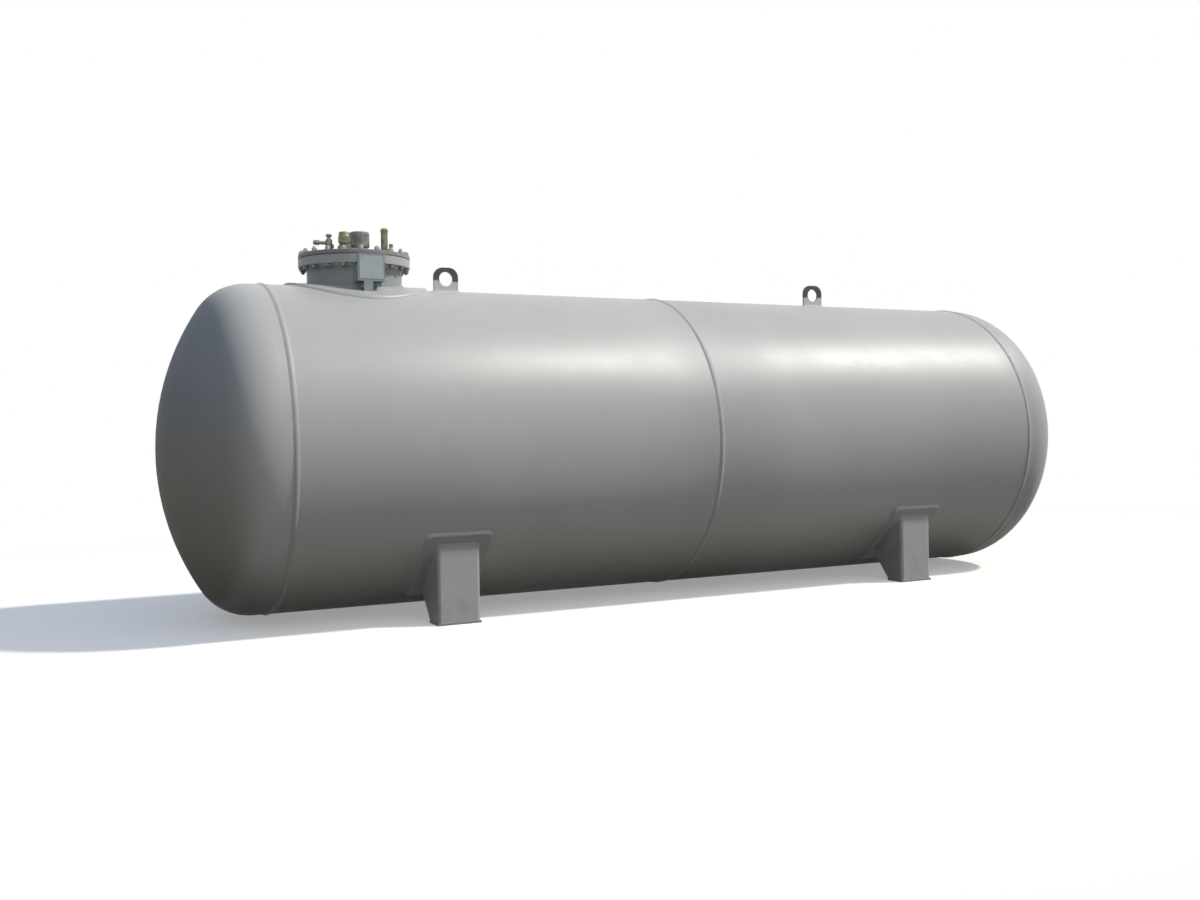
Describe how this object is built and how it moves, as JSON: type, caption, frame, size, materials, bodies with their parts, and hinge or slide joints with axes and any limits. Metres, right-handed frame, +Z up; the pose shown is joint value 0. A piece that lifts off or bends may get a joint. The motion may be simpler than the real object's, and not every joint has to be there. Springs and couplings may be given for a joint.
{
  "type": "horizontal pressure tank",
  "caption": "Horizontal cylindrical pressure tank with dished ends, a bolted manway with brass valves and a level gauge, lifting lugs and folded steel legs.",
  "frame": {"origin": "on the ground under the middle of the tank, midway between the legs", "axes": "+X along the tank away from the manway end, +Y away from the side with the nameplate, +Z up"},
  "size_m": [5.2738, 1.6118, 1.947],
  "materials": {
    "tank_paint": "satin",
    "manway_paint": "satin",
    "cover_paint": "satin",
    "pad_paint": "satin",
    "leg_paint": "satin",
    "lug_paint": "satin",
    "gasket": "matte",
    "bracket_sheet": "satin",
    "bare_plate": "satin",
    "brass": "satin",
    "gauge_metal": "satin",
    "gauge_casting": "satin",
    "dial": "matte",
    "dark_steel": "satin"
  },
  "bodies": {
    "root": {"left_head": "tank_paint", "right_head": "tank_paint", "left_shell_course": "tank_paint", "right_shell_course": "tank_paint", "left_girth_weld": "tank_paint", "middle_girth_weld": "tank_paint", "right_girth_weld": "tank_paint", "manway_pad": "tank_paint", "front_left_leg_pad": "pad_paint", "front_right_leg_pad": "pad_paint", "rear_left_leg_pad": "pad_paint", "rear_right_leg_pad": "pad_paint", "manway_neck": "manway_paint", "manway_flange": "manway_paint", "manway_cover": "cover_paint", "cover_bosses": "cover_paint", "manway_gasket": "gasket", "nameplate_bracket": "bracket_sheet", "nameplate": "bare_plate", "filling_valve_body": "brass", "filling_valve_cap": "brass", "relief_valve_body": "brass", "relief_valve_cap": "brass", "bleed_cock": "brass", "test_cock": "brass", "level_gauge_base": "gauge_metal", "level_gauge_head": "gauge_casting", "level_gauge_dial": "dial", "vapour_valve_body": "dark_steel", "vapour_valve_knob": "dark_steel", "vapour_outlet_cap": "dark_steel", "left_lifting_lug": "lug_paint", "right_lifting_lug": "lug_paint", "front_left_leg": "leg_paint", "front_right_leg": "leg_paint", "rear_left_leg": "leg_paint", "rear_right_leg": "leg_paint", "front_left_base_plate": "leg_paint", "front_right_base_plate": "leg_paint", "rear_left_base_plate": "leg_paint", "rear_right_base_plate": "leg_paint"}
  },
  "joints": []
}
